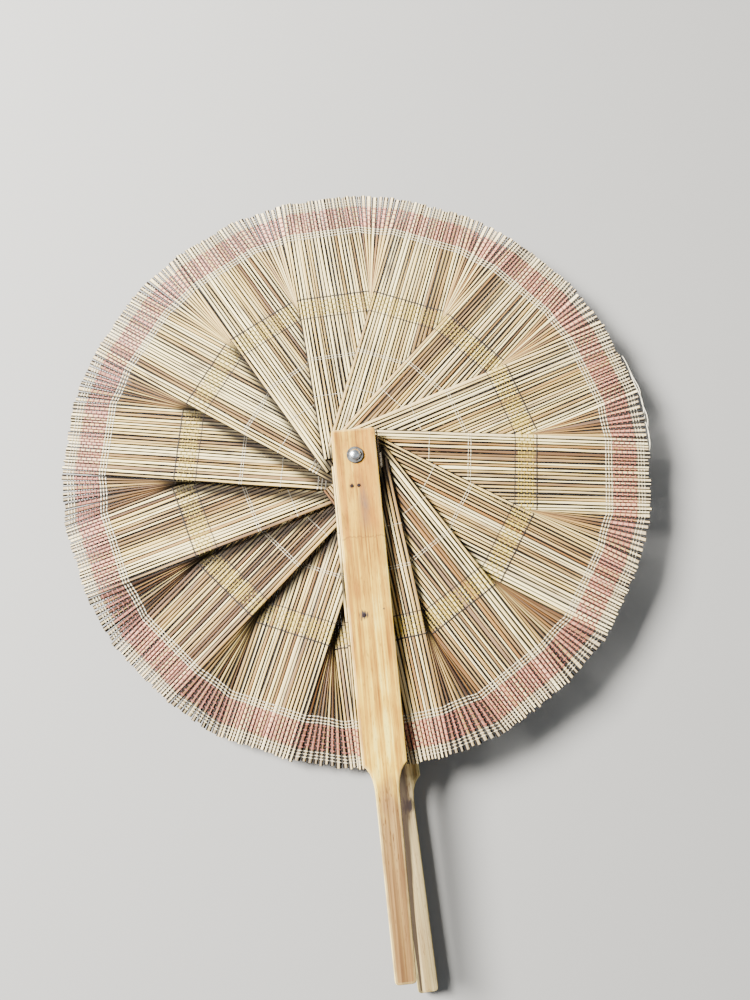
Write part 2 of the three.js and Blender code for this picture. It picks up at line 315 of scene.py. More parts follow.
class SplitCane(Finish):
    """Dry split cane: each reed has a tone of its own, fibres along it, and dirt and painted shade at its
    edges.

    The yarn's dye has bled into the reeds, so they are pink under the red band and yellow under the
    yellow one. Distances along a reed are in millimetres from the rim, and across it in half widths.
    """

    TONES = (
        (0.0, (0.020, 0.009, 0.004, 1)),
        (0.2, (0.055, 0.024, 0.009, 1)),
        (0.4, (0.145, 0.070, 0.025, 1)),
        (0.6, (0.33, 0.200, 0.066, 1)),
        (0.8, (0.68, 0.495, 0.165, 1)),
        (1.0, (0.95, 0.80, 0.40, 1)),
    )
    WARM = (0.33, 0.135, 0.025, 1)
    MAUVE = (0.25, 0.165, 0.11, 1)
    MOST_TINT = 0.7
    BLEACHED = (0.92, 0.80, 0.52, 1)
    BLEACH_REACH = (9.0, 2.0)
    MOST_BLEACH = 0.42
    SALMON = (0.64, 0.275, 0.185, 1)
    PINK = (0.60, 0.275, 0.22, 1)
    RED_BAND = (7.0, 21.0)
    YELLOW = (0.66, 0.52, 0.10, 1)
    YELLOW_BAND = (65.5, 76.0)
    DYE_BLUR = 0.8
    DUST = (0.15, 0.105, 0.075, 1)
    # one dark colour for edge dirt and for painted shade
    DIRT_AND_SHADE = (0.011, 0.007, 0.004, 1)
    UNDARKENED_HALF = 0.74
    EDGE_BLUR = 0.24
    CROWN = 0.32

    def __init__(self) -> None:
        """Read what the mesh says of the reed and lay the coats in their order."""
        super().__init__("split_cane")
        self.along, self.across, self.number = self.triple("reed_run")
        self.tone, self.warmth, self.covered_from = self.triple("reed_kind")
        self.fibre = self.noise(self.along * 0.06, self.across * 3.5, self.number * 5.1, 4.0)
        self.lay_cane()
        self.lay_dye()
        self.lay_dust()
        self.lay_dirt_and_shade()
        self.set(Base_Color=self.colour, Specular_IOR_Level=0.25)
        back = (1.001 - self.across * self.across) ** 0.5
        self.bump(back * self.CROWN + self.fibre * 0.05 + self.single("reed_lean"), 1.0, MM)

    def lay_cane(self) -> None:
        """Lay the bare cane with its tints, bleached at the rim."""
        drift = self.noise(self.along * 0.02, self.number * 3.7, 0.3)
        group = self.noise(self.number * 0.31, self.along * 0.006, 0.2)
        shade = self.tone + drift.swing(0.4) + self.fibre.swing(0.4) + group.swing(0.5)
        self.colour = self.ramp(shade, self.TONES)
        self.coat(self.warmth.between(0.0, 1.0) * self.MOST_TINT, self.WARM)
        self.coat(self.warmth.between(0.0, -1.0) * self.MOST_TINT, self.MAUVE)
        self.coat(self.along.between(*self.BLEACH_REACH) * self.MOST_BLEACH, self.BLEACHED)

    def in_band(self, start: float, end: float) -> Value:
        """Share of the dye in a band with blurred ends."""
        begun = self.along.between(start - self.DYE_BLUR, start + self.DYE_BLUR)
        return begun * self.along.between(end + self.DYE_BLUR, end - self.DYE_BLUR)

    def lay_dye(self) -> None:
        """Lay the dye, which some reeds have taken better than others."""
        x, y, _ = self.split(self.place())
        taken = self.noise(self.number * 7.31, self.along * 0.03, 0.6).between(0.3, 0.7)
        red = self.mix((y - x).between(0.02, 0.2), self.SALMON, self.PINK)
        self.coat(self.in_band(*self.RED_BAND) * (0.15 + taken * 0.75), red)
        self.coat(self.in_band(*self.YELLOW_BAND) * taken * 0.5, self.YELLOW)

    def lay_dust(self) -> None:
        """Lay smeared dust."""
        smear = self.noise(self.along * 0.06, self.number * 0.23, 0.7, 4.0)
        self.coat(smear.between(0.56, 0.8) * 0.6, self.DUST)

    def lay_dirt_and_shade(self) -> None:
        """Lay dirt and painted shade at the reed's edges, and painted shade where the next panel covers it
        and on the reed's underside.
        """
        # painted shade: the reed's edges are darkened, partly dirt and partly shade standing in for the dark
        # gaps between reeds
        flank = self.number * 1.37 + self.across.between(-0.05, 0.05) * 5.3
        weight = self.noise(flank, self.along * 0.012, 0.9).between(0.32, 0.68)
        outward = abs(self.across) - self.UNDARKENED_HALF + weight * 0.6 + self.along.between(32.0, 0.0) * 0.1
        edge = outward.between(0.0, self.EDGE_BLUR)
        top = self.single("reed_top")
        # painted shade: darker near where the next panel covers the reed
        covered = self.along - self.covered_from
        shaded = covered.between(-12.0, 1.0) * top.between(-0.3, 0.4)
        shaded = shaded * (0.4 + self.along.between(25.0, 75.0) * 0.55) * covered.between(22.0, 5.0)
        # painted shade: the reed's underside is darkened
        under = top.between(0.1, -0.9) * 0.35
        dirt_and_shade = 1 - (1 - edge) * (1 - shaded) * (1 - under)
        self.coat(dirt_and_shade, self.DIRT_AND_SHADE)
        self.set(Roughness=0.45 + self.fibre * 0.3 + dirt_and_shade * 0.25)


class Yarn(Finish):
    """Twisted thread, fresh in some parts of the leaf and faded in others."""

    TWIST = 1.3
    GROOVE_SHADE = (0.2, 0.15, 0.12, 1)
    PAINTED_SHADE = (0.012, 0.008, 0.005, 1)

    def __init__(self, name: str, fresh: Colour, faded: Colour) -> None:
        """Twist the strands with painted shade in their grooves, fade them in patches and paint shade where
        the thread is covered or sunk between reeds.

        Args:
            name: Name of the material.
            fresh: Thread that has kept its colour.
            faded: Thread that has lost it.
        """
        super().__init__(name, fresh)
        length, around, fade = self.triple("thread_run")
        strands = (length * (FULL_TURN / self.TWIST) + around * FULL_TURN).sine()
        fuzz = self.noise(length * 1.7, around * 4, fade * 9, 3.0)
        patch = self.noise(length * 0.22, fade * 31, 0.4, 3.0)
        self.coat(fade + patch.swing(1.6), faded)
        # painted shade in the grooves between the twisted strands
        self.coat((0.5 - strands * 0.5) * 0.5, self.GROOVE_SHADE, "MULTIPLY")
        self.coat(fuzz.between(0.4, 0.85) * 0.25, faded)
        # painted shade: the thread darkens where the next panel covers it and where it sinks between reeds
        self.coat(self.single("thread_dark").between(0.3, 0.85) * 0.9, self.PAINTED_SHADE)
        self.set(Base_Color=self.colour, Roughness=0.9, Sheen_Weight=0.1, Specular_IOR_Level=0.2)
        self.bump(strands * 0.5 + fuzz * 0.4, 0.6, 0.1 * MM)


@dataclass(frozen=True)
class Stick:
    """What sets one guard apart, in metres, on a stick that hangs straight down from the pivot.

    Attributes:
        name: Name of its material.
        turn: Angle of the stick about the pivot, in radians.
        pale: How pale the stick is, from 0 to 1.
        ring: Distance of the node ring below the pivot.
        handle: Distance below the pivot from which hands have darkened the stick.
        grip: The two tones of the handle.
        blots: Middles and radii of the dark blots, in the fan's frame.
        other_turn: Angle to the stick that lies over this one, in radians, or 0 for none.
        other_edge: Distance of that stick's edge from its middle line.
    """

    name: str
    turn: float
    pale: float
    ring: float
    handle: float
    grip: tuple[Colour, Colour]
    blots: Sequence[Triple]
    other_turn: float = 0.0
    other_edge: float = 0.0


class Bamboo(Finish):
    """Planed bamboo with its fibres along the stick, a node ring, a worn, stained surface and pale edges
    that are partly a painted highlight.
    """

    TONES = (
        (0.0, (0.06, 0.023, 0.007, 1)),
        (0.3, (0.27, 0.115, 0.010, 1)),
        (0.6, (0.47, 0.255, 0.020, 1)),
        (0.85, (0.66, 0.42, 0.036, 1)),
        (1.0, (0.76, 0.59, 0.11, 1)),
    )
    GLOW = (0.44, 0.15, 0.010, 1)
    SMOKE = (0.15, 0.095, 0.060, 1)
    TOAST = (0.34, 0.135, 0.012, 1)
    FLECK = (0.10, 0.040, 0.012, 1)
    RING_LINE = (0.13, 0.055, 0.016, 1)
    RUST = (0.036, 0.027, 0.027, 1)
    # painted shadow of the stick that lies over this one
    PAINTED_SHADE = (0.020, 0.012, 0.009, 1)
    WORN_HIGHLIGHT = (0.80, 0.64, 0.24, 1)
    WORN_HIGHLIGHT_PATCH = 1 / 90

    def __init__(self, stick: Stick) -> None:
        """Turn the place back to a hanging stick, lay the grain and then the coats in their order.

        Args:
            stick: Which guard it is.
        """
        super().__init__(stick.name)
        self.stick = stick
        inputs = {"Vector": self.place(), "Rotation": (0, 0, stick.turn)}
        mapped = self.node("ShaderNodeMapping", {"vector_type": "POINT"}, inputs)
        self.point = self.split(self.result(mapped))
        self.x, self.y, _ = self.point
        self.streak = self.grain(self.point, 0.0042, 0.11, 3.0)
        self.line = self.grain(self.point, 0.0013, 0.12, 2.0)
        self.fibre = self.grain(self.point, 0.0005, 0.02, 3.0)
        self.dash = self.grain(self.point, 0.0006, 0.004, 1.0)
        self.cloud = self.grain(self.point, 0.012, 0.026, 3.0)
        self.ring_gap = self.y + stick.ring + self.line.swing(0.005) + self.cloud.swing(0.003)
        self.lay_wood()
        self.lay_grip()
        self.coat(abs(self.ring_gap).between(0.0007, 0.0001) * 0.5, self.RING_LINE)
        self.lay_blots()
        # painted shadow: the front stick's shadow on the back handle
        if stick.other_turn:
            self.lay_handle_shadow()
        self.lay_wear_and_highlight()
        roughness = 0.4 + self.fibre * 0.2 + self.cloud * 0.15
        self.set(Base_Color=self.colour, Roughness=roughness, Specular_IOR_Level=0.25)
        groove = abs(self.ring_gap).between(0.0008, 0.0) * 0.6
        self.bump(self.fibre * 0.6 + self.dash * 0.4 - groove, 0.35, 0.12 * MM)

    def lay_wood(self) -> None:
        """Lay the wood with its streaks, the glow at the ring, the smoke mark and scorched patches."""
        shade = self.stick.pale + self.streak.between(0.3, 0.7).swing(0.42)
        shade = shade + self.line.between(0.3, 0.7).swing(0.3) + self.cloud.between(0.3, 0.7).swing(0.35)
        shade = shade + self.fibre.swing(0.6) - (self.y + 0.1).between(0.0, 0.07) * 0.12
        self.colour = self.ramp(shade, self.TONES)
        self.coat(self.ring_gap.between(-0.001, 0.003) * self.cloud.between(0.35, 0.65) * 0.5, self.GLOW)
        smoky = abs(self.x - 0.0018 + self.cloud.swing(0.012)).between(0.005, 0.0)
        smoke_gap = self.y + self.stick.ring * 0.75 + self.streak.swing(0.04)
        self.coat(smoky * abs(smoke_gap).between(0.018, 0.002) * 0.9, self.SMOKE)
        toasted = self.grain(self.point, 0.006, 0.022, 4.0).between(0.48, 0.66)
        self.coat(toasted * (0.22 + (self.y + 0.11).between(0.0, 0.06) * 0.45), self.TOAST)

    def lay_grip(self) -> None:
        """Lay the handle's tones and the dark fibres, most of them at the handle's top."""
        above = self.y + self.stick.handle
        tanned = (above + self.cloud.swing(0.05)).between(0.012, -0.012)
        self.coat(tanned * 0.9, self.mix(self.line.between(0.35, 0.65), *self.stick.grip))
        at_top = abs(above + 0.012).between(0.03, 0.005)
        self.coat(self.dash.between(0.6, 0.72) * (0.35 + 0.5 * at_top), self.FLECK)

    def lay_blots(self) -> None:
        """Lay the rust round the tacks and the other dark blots."""
        x, y, _ = self.split(self.place())
        clean: Number = 1.0
        for middle_x, middle_y, reach in self.stick.blots:
            wide = x - middle_x
            high = y - middle_y
            gap = (wide * wide + high * high) ** 0.5 + self.dash.swing(reach * 1.6)
            clean = clean * gap.between(reach * 0.4, reach)
        self.coat(1.0 - clean, self.RUST)

    def lay_handle_shadow(self) -> None:
        """Lay a painted shadow beside the stick that lies over this one, less of it towards the handle's
        end.
        """
        gap = self.x - self.y * math.tan(self.stick.other_turn) - self.stick.other_edge
        reach = (self.y + 0.25).between(0.0, 0.07) * 0.005 + 0.0008
        self.coat((gap / reach + self.cloud.swing(0.6)).between(1.0, 0.3) * 0.95, self.PAINTED_SHADE)

    def lay_wear_and_highlight(self) -> None:
        """Paint the eased edges pale in patches, partly wear and partly a painted highlight."""
        flat = self.flatness()
        patchy = self.grain(self.split(self.place()), self.WORN_HIGHLIGHT_PATCH, self.WORN_HIGHLIGHT_PATCH, 3.0)
        # partly wear, partly a painted highlight on the eased edges
        eased = flat.between(0.1, 0.4) * flat.between(0.99, 0.94)
        self.coat(eased * (0.2 + patchy.between(0.3, 0.65) * 0.6), self.WORN_HIGHLIGHT)


class Metal(Finish):
    """Dull metal with fine scratches and grime in patches."""

    PATCH = 0.0022

    def __init__(self, name: str, bright: Colour, grime: Colour, roughness: float, share: float) -> None:
        """Lay grime and scratches on the metal.

        Args:
            name: Name of the material.
            bright: The clean metal.
            grime: The grime.
            roughness: How dull the clean metal is.
            share: How much of it is grimy, from 0 to 1.
        """
        super().__init__(name, bright)
        x, y, z = self.split(self.place())
        patch = self.grain((x, y, z), self.PATCH, self.PATCH, 4.0)
        scratch = self.noise(x / 0.0001, y / 0.0011, z / 0.0004)
        grimy = patch.between(0.72 - share * 0.5, 0.86 - share * 0.4)
        self.coat(grimy, grime)
        self.set(Base_Color=self.colour, Metallic=1 - grimy * 0.5)
        self.set(Roughness=roughness + scratch * 0.18 + grimy * 0.3)
        self.bump(scratch * 0.5 + patch * 0.5, 0.2, 0.05 * MM)


class PaleFloor(Finish):
    """Plain pale matt floor."""

    PALE = (0.29, 0.29, 0.28, 1)
    MOTTLE = (0.245, 0.24, 0.23, 1)
    PATCH = 0.05

    def __init__(self) -> None:
        """Mottle the floor faintly."""
        super().__init__("pale_floor", self.PALE)
        patch = self.grain(self.split(self.place()), self.PATCH, self.PATCH, 4.0)
        self.coat(patch * 0.12, self.MOTTLE)
        self.set(Base_Color=self.colour, Roughness=0.9)


class ThreadKind(Enum):
    """The yarns that tie the reeds, each with its place among a panel's materials."""

    CREAM = 1
    RED = 2
    YELLOW = 3
    DARK = 4

    @property
    def wound(self) -> bool:
        """Whether the thread is wound round each reed, so that it shows on all of them."""
        return self in (ThreadKind.CREAM, ThreadKind.DARK)


@dataclass(frozen=True)
class ThreadRow:
    """One thread across a panel.

    Attributes:
        inset: Distance from the rim, in millimetres.
        kind: Which yarn it is.
        width: Width of the flattened yarn, in millimetres.
    """

    inset: float
    kind: ThreadKind
    width: float


def band(first: float, pitch: float, count: int, kind: ThreadKind, width: float) -> list[ThreadRow]:
    """Rows of one yarn at an even pitch.

    Args:
        first: Distance of the first row from the rim, in millimetres.
        pitch: Distance between rows.
        count: Number of rows.
        kind: The yarn.
        width: Width of the yarn.

    Returns:
        The rows.
    """
    return [ThreadRow(first + number * pitch, kind, width) for number in range(count)]


WEAVE = [
    *band(2.7, 1.65, 3, ThreadKind.CREAM, 0.55),
    *band(7.9, 1.52, 9, ThreadKind.RED, 0.85),
    *band(21.4, 1.65, 3, ThreadKind.CREAM, 0.75),
    *band(64.4, 1.0, 1, ThreadKind.DARK, 0.85),
    *band(66.6, 1.65, 6, ThreadKind.YELLOW, 0.8),
    *band(77.0, 1.0, 1, ThreadKind.DARK, 0.55),
    *band(102.4, 1.4, 2, ThreadKind.CREAM, 0.5),
    *band(126.4, 1.0, 1, ThreadKind.CREAM, 0.5),
]
LACING = band(148.0, 2.2, 3, ThreadKind.CREAM, 1.0)


@dataclass(frozen=True)
class LeafForm:
    """Sizes of the pleated leaf, in millimetres and degrees, and where its surface lies."""

    radius: float = 168.5
    inner_radius: float = 3.8
    face_width: float = 44.0
    shift: float = 4.0
    pleats: int = 14
    sweep: float = 356.0
    guard_sweep: float = 362.3
    first_layer: float = 8.51
    layer_pitch: float = 0.56
    inner_tilt: float = 0.1
    rim_tilt: float = 0.03
    ridge_width: float = 4.0
    inner_drop: float = 0.6
    rim_drop: float = 0.2

    @property
    def panels(self) -> int:
        """Number of face and return panels."""
        return 2 * self.pleats + 2

    def rise(self, along: float, across: float) -> float:
        """Height of a panel's surface over its layer.

        Args:
            along: Distance from the pivot along the panel.
            across: Distance from the panel's middle, towards the ridge.

        Returns:
            The height in millimetres.
        """
        share = (along - self.inner_radius) / (self.radius - self.inner_radius)
        lean = self.inner_tilt + (self.rim_tilt - self.inner_tilt) * share
        drop = self.inner_drop + (self.rim_drop - self.inner_drop) * share
        into_ridge = max(0.0, across - self.face_width / 2 + self.ridge_width) / self.ridge_width
        return lean * (across - self.shift) - drop * into_ridge**2

    def turn(self, panel: int) -> float:
        """Direction of a panel in radians, clockwise from the back guard."""
        last = panel == self.panels - 1
        degrees = self.guard_sweep if last else panel * self.sweep / self.pleats / 2
        return math.radians(-90 - degrees)

    def point(self, panel: int, along: float, across: float, lift: float = 0.0) -> Vector:
        """A point of a panel's surface in the fan's frame.

        Args:
            panel: Number of the panel, from 0 at the back guard.
            along: Distance from the pivot along the panel.
            across: Distance from the panel's middle, towards the ridge.
            lift: Height over the surface.

        Returns:
            The point in metres.
        """
        height = self.first_layer + panel * self.layer_pitch + self.rise(along, across) + lift
        flat = Vector((along, across - self.shift, height)) * MM
        return Matrix.Rotation(self.turn(panel), 3, "Z") @ flat


@dataclass
class Reed:
    """One straight reed.

    Attributes:
        number: Its number in the leaf, which also decides over and under.
        inner: Its end near the pivot, in metres.
        rim: Its end at the rim.
        side: Unit vector across it.
        width: Width in metres.
        thickness: Thickness in metres.
        inner_thickness: Thickness from its middle to its inner end.
        inner_share: Share of its width that is left from its middle to its inner end.
        overhang: How far it reaches past the rim, in metres.
        kind: Tone and warmth of its surface, and the distance from the rim about which its painted shade
            lies, near where the next panel covers it.
        lean: Slope across it that its shading shows on top of its own.
    """

    number: int
    inner: Vector
    rim: Vector
    side: Vector
    width: float
    thickness: float
    inner_thickness: float
    inner_share: float
    overhang: float
    kind: Vector
    lean: float = 0.0

    @property
    def direction(self) -> Vector:
        """Unit vector from the inner end to the rim."""
        return (self.rim - self.inner).normalized()

    @property
    def normal(self) -> Vector:
        """Unit vector out of its upper side."""
        return self.direction.cross(self.side)

    def at(self, inset: float) -> Vector:
        """The point of its middle line at a distance from the rim, in metres."""
        return self.rim - self.direction * inset

    def section(self, share: float) -> Span:
        """Width and thickness at a share of the way from the inner end to the rim."""
        rimward = max(0.0, 2 * share - 1)
        width = self.width * (self.inner_share + (1 - self.inner_share) * rimward)
        return width, self.inner_thickness + (self.thickness - self.inner_thickness) * rimward


def rod_blank(name: str, sides: int, cuts: int) -> Mesh:
    """A closed rod of length and radius 1 along +X, cut into rings, to be bent into reeds and threads.

    Args:
        name: Name of the mesh.
        sides: Number of sides.
        cuts: Number of rings between the ends.

    Returns:
        The mesh.
    """
    work = bmesh.new()
    bmesh.ops.create_cone(work, cap_ends=True, segments=sides, radius1=1, radius2=1, depth=1)
    bmesh.ops.translate(work, verts=work.verts, vec=(0, 0, 0.5))
    bmesh.ops.rotate(work, verts=work.verts, cent=(0, 0, 0), matrix=Matrix.Rotation(math.pi / 2, 3, "Y"))
    long_edges = [edge for edge in work.edges if abs(edge.verts[0].co.x - edge.verts[1].co.x) > 0.5]
    if cuts:
        bmesh.ops.subdivide_edges(work, edges=long_edges, cuts=cuts, use_grid_fill=True)
    bmesh.ops.recalc_face_normals(work, faces=work.faces)
    for face in work.faces:
        face.smooth = len(face.verts) == 4
    for edge in work.edges:
        edge.smooth = all(len(face.verts) == 4 for face in edge.link_faces)
    mesh = bpy.data.meshes.new(name)
    work.to_mesh(mesh)
    work.free()
    return mesh


def add_rod(work: BMesh, blank: Mesh, slot: int = 0) -> list[BMVert]:
    """Add a copy of a blank to a mesh.

    Args:
        work: The mesh.
        blank: The blank.
        slot: Number of the material.

    Returns:
        The new vertices.
    """
    vertices, faces = len(work.verts), len(work.faces)
    work.from_mesh(blank)
    work.verts.ensure_lookup_table()
    work.faces.ensure_lookup_table()
    for face in work.faces[faces:]:
        face.material_index = slot
    return work.verts[vertices:]


def make_piece(name: str, work: BMesh, finishes: Sequence[Material]) -> Object:
    """Turn a finished bmesh into an object.

    Args:
        name: Name of the piece.
        work: Its mesh, which is freed.
        finishes: Its materials.

    Returns:
        The object, at the origin.
    """
    mesh = bpy.data.meshes.new(name)
    work.to_mesh(mesh)
    work.free()
    for finish in finishes:
        mesh.materials.append(finish)
    piece = bpy.data.objects.new(name, mesh)
    bpy.context.scene.collection.objects.link(piece)
    return piece


def running_lengths(path: Sequence[Vector]) -> list[float]:
    """Distance of each point of a path in metres from its start, in millimetres."""
    steps = [(after - before).length / MM for before, after in zip(path, path[1:])]
    return list(accumulate(steps, initial=0.0))


def thread_path(middles: Sequence[Vector]) -> list[Vector]:
    """Middle line of a thread, before it goes over and under.

    Args:
        middles: Where it crosses the reeds.

    Returns:
        These points, with one between each two of them and one beyond each end.
    """
    path = [middles[0] + (middles[0] - middles[1]) / 2]
    for middle, following in zip(middles, middles[1:]):
        path += [middle, (middle + following) / 2]
    return path + [middles[-1], middles[-1] * 1.5 - middles[-2] / 2]


class Loom:
    """Turns reeds and thread rows into one mesh. Lengths are in millimetres.

    SWAY is the most that a reed bends aside, SWELL the range of its width from ring to ring, WOBBLE the
    most that a thread strays along a reed, SUNK_WIDTH the share of a thread's width between two reeds
    and SHADE_DEPTH the distance over which painted shade on a thread grows towards a fold.
    """

    REED_SIDES = 8
    REED_CUTS = 3
    THREAD_SIDES = 6
    THREAD_THICKNESS = 0.22
    SWAY = 0.12
    SWELL = (0.9, 1.06)
    WOBBLE = 0.13
    SUNK_WIDTH = 0.86
    SHADE_DEPTH = 10.0

    def __init__(self, finishes: Sequence[Material]) -> None:
        """Keep the finishes, the reeds' first, and the blanks made so far."""
        self.finishes = finishes
        self.reed_blank = rod_blank("reed_blank", self.REED_SIDES, self.REED_CUTS)
        self.thread_blanks: dict[int, Mesh] = {}

    def thread_blank(self, cuts: int) -> Mesh:
        """The thread blank with so many rings between its ends."""
        if cuts not in self.thread_blanks:
            self.thread_blanks[cuts] = rod_blank(f"thread_blank_{cuts}", self.THREAD_SIDES, cuts)
        return self.thread_blanks[cuts]

    def lay_reed(self, work: BMesh, reed: Reed, chance: Random) -> None:
        """Add one reed.

        Args:
            work: The panel's mesh.
            reed: The reed.
            chance: Draws its small bends.
        """
        run = work.verts.layers.float_vector["reed_run"]
        kind = work.verts.layers.float_vector["reed_kind"]
        top = work.verts.layers.float["reed_top"]
        lean = work.verts.layers.float["reed_lean"]
        tip = reed.rim + reed.direction * reed.overhang
        length = (tip - reed.inner).length
        rings = self.REED_CUTS + 1
        sway = [0.0] + [chance.uniform(-self.SWAY, self.SWAY) * MM for _ in range(rings)]
        swell = [chance.uniform(*self.SWELL) for _ in range(rings + 1)]
        for vertex in add_rod(work, self.reed_blank):
            share, across, over = vertex.co
            ring = round(share * rings)
            middle = reed.inner.lerp(tip, share) + reed.side * sway[ring]
            width, thickness = reed.section(share)
            half = width / 2 * swell[ring]
            vertex.co = middle + reed.side * (across * half) + reed.normal * (over * thickness / 2)
            vertex[top] = over
            vertex[lean] = reed.lean * across * half / MM
            vertex[run] = Vector(((1 - share) * length / MM, across, reed.number))
            vertex[kind] = reed.kind

    def weave_row(
        self, work: BMesh, reeds: Sequence[Reed], row: ThreadRow, order: int, fade: float, chance: Random
    ) -> None:
        """Add one thread that goes over and under the reeds in turn.

        Args:
            work: The panel's mesh.
            reeds: The reeds that it ties.
            row: Which thread, and where.
            order: Number of the row, which sets where it goes over.
            fade: How faded it is, from 0 to 1.
            chance: Draws its small wobbles.
        """
        run = work.verts.layers.float_vector["thread_run"]
        dark = work.verts.layers.float["thread_dark"]
        thickness = self.THREAD_THICKNESS * MM
        insets = [row.inset + chance.uniform(-self.WOBBLE, self.WOBBLE) for _ in reeds]
        path = thread_path([reed.at(inset * MM) for reed, inset in zip(reeds, insets)])
        lengths = running_lengths(path)
        rings = len(path) - 1
        for vertex in add_rod(work, self.thread_blank(rings - 1), row.kind.value):
            share, wide, high = vertex.co
            ring = round(share * rings)
            reed = reeds[min(ring // 2, len(reeds) - 1)]
            side = 1 if row.kind.wound or (reed.number + order) % 2 else -1
            lift = side * (reed.thickness + thickness) / 2
            width = row.width
            # painted shade: the thread darkens towards where the next panel covers the reed
            covered = min(1.0, max(0.0, (row.inset - reed.kind.z) / self.SHADE_DEPTH + 1))
            sunk = ring % 2 == 0
            if sunk:
                lift = 0.0
                width = row.width * self.SUNK_WIDTH
                # painted shade: thread sunk between two reeds is fully darkened
                covered = 1.0
            spread = reed.direction * (wide * width / 2 * MM)
            raised = reed.normal * (lift + high * thickness / 2)
            vertex.co = path[ring] + spread + raised
            vertex[run] = Vector((lengths[ring], math.atan2(high, wide) / FULL_TURN, fade))
            vertex[dark] = covered

    def weave(
        self, name: str, reeds: Sequence[Reed], rows: Sequence[ThreadRow], fade: float, seed: int
    ) -> Object:
        """Make one panel, or one strip of a panel.

        Args:
            name: Name of the piece.
            reeds: Its reeds, in order.
            rows: Its threads.
            fade: How faded the threads are.
            seed: Starts the draws of small bends and wobbles.

        Returns:
            The piece.
        """
        chance = Random(seed)
        work = bmesh.new()
        for layer in ("reed_run", "reed_kind", "thread_run"):
            work.verts.layers.float_vector.new(layer)
        for layer in ("reed_top", "reed_lean", "thread_dark"):
            work.verts.layers.float.new(layer)
        for reed in reeds:
            self.lay_reed(work, reed, chance)
        for order, row in enumerate(rows):
            self.weave_row(work, reeds, row, order, fade, chance)
        return make_piece(name, work, self.finishes)


